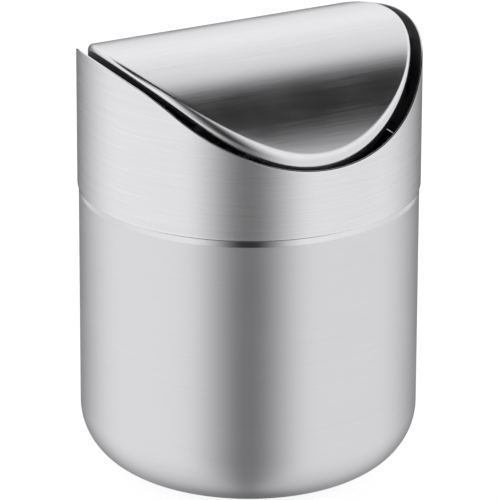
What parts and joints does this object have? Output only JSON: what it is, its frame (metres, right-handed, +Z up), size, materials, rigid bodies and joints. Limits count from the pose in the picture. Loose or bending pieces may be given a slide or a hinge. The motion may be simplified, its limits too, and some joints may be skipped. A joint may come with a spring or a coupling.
{
  "type": "wastebasket",
  "caption": "Small round desktop wastebasket in stainless steel: drawn can with a lift-off saddle-cut lid collar and a counterweighted swing flap.",
  "frame": {"origin": "on the floor under the centre of the base", "axes": "+Z up along the can's axis; +X along the flap's pivot line and ridge; -Y and +Y are the flap's two low sides"},
  "size_m": [0.122, 0.122, 0.1613],
  "materials": {
    "satin_steel": "satin, fine brushing round the can, polished shoulder",
    "brushed_collar": "brushed round the collar",
    "brushed_flap": "brushed along the ridge, polished rounded edge",
    "plate_steel": "mill finish sheet",
    "pin_steel": "turned, bright",
    "spring_steel": "blackened spring steel",
    "zinc_plated_steel": "zinc plated",
    "natural_nylon": "moulded, satin",
    "black_plastic": "moulded, fine grain",
    "base_rubber": "matte"
  },
  "bodies": {
    "bin": {"bin_shell": "satin_steel", "base_ring": "base_rubber"},
    "lid": {"lid_collar": "brushed_collar", "locating_ring": "black_plastic", "pivot_plate_right": "plate_steel", "pivot_plate_left": "plate_steel", "pivot_pin_right": "pin_steel", "pivot_pin_left": "pin_steel", "pin_spacer_right": "natural_nylon", "pin_spacer_left": "natural_nylon", "pin_clip_right": "spring_steel", "pin_clip_left": "spring_steel"},
    "flap": {"flap_panel": "brushed_flap", "hinge_lug_right": "plate_steel", "hinge_lug_left": "plate_steel", "pivot_bush_right": "natural_nylon", "pivot_bush_left": "natural_nylon", "counterweight_hanger_right": "plate_steel", "counterweight_hanger_left": "plate_steel", "counterweight_bar": "zinc_plated_steel", "counterweight_screws": "zinc_plated_steel"}
  },
  "joints": [
    {"name": "lid_lift", "type": "slide", "parent": "bin", "child": "lid", "axis": [0, 0, 1], "range_m": [0, 0.06]},
    {"name": "flap_swing", "type": "hinge", "parent": "lid", "child": "flap", "pos_m": [0, 0, 0.1445], "axis": [1, 0, 0], "range_deg": [-90, 90]}
  ]
}
